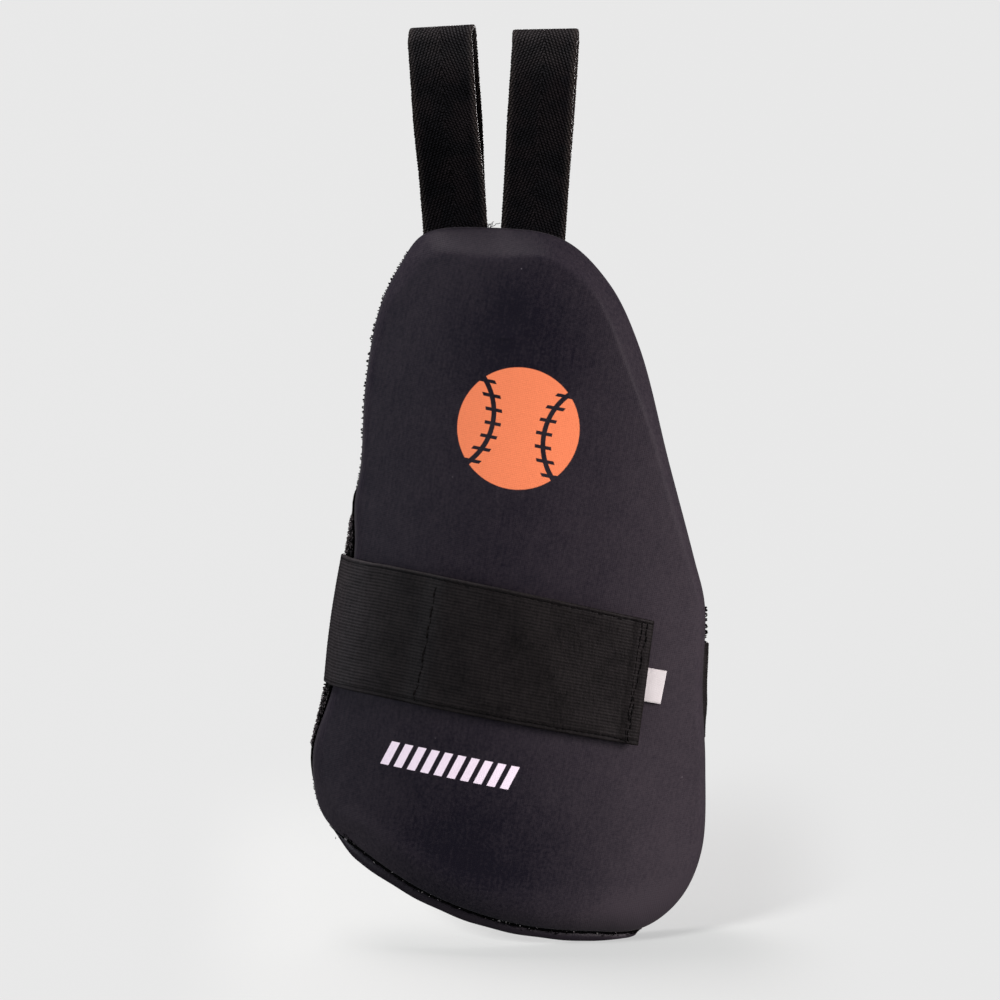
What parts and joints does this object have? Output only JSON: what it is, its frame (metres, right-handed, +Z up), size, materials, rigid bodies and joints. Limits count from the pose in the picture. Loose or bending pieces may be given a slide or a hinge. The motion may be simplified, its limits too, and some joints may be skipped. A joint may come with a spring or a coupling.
{
  "type": "inner thigh pad",
  "caption": "Curved, bevelled foam pad with a towelling back, webbing belt loops at the top and a wide elastic strap; guards the inside of a batter's thigh.",
  "frame": {"origin": "on the waist belt that passes through the loops, midway between them", "axes": "+Z up along the leg as worn, +X to the right seen from the front, +Y towards the thigh, so the padded front faces -Y"},
  "size_m": [0.1537, 0.0567, 0.3542],
  "materials": {
    "cover": "matt dark charcoal stretch knit",
    "towelling": "black looped towelling",
    "hem": "rolled and topstitched stretch knit",
    "webbing": "black herringbone webbing",
    "elastic": "black ribbed elastic",
    "hook_tape": "black hook tape",
    "label": "white woven label"
  },
  "bodies": {
    "root": {"front_pad": "cover", "back_panel": "towelling", "bottom_hem": "hem", "loop_left": "webbing", "loop_right": "webbing", "leg_strap": "elastic", "hook_patch": "hook_tape", "size_label": "label"}
  },
  "joints": []
}
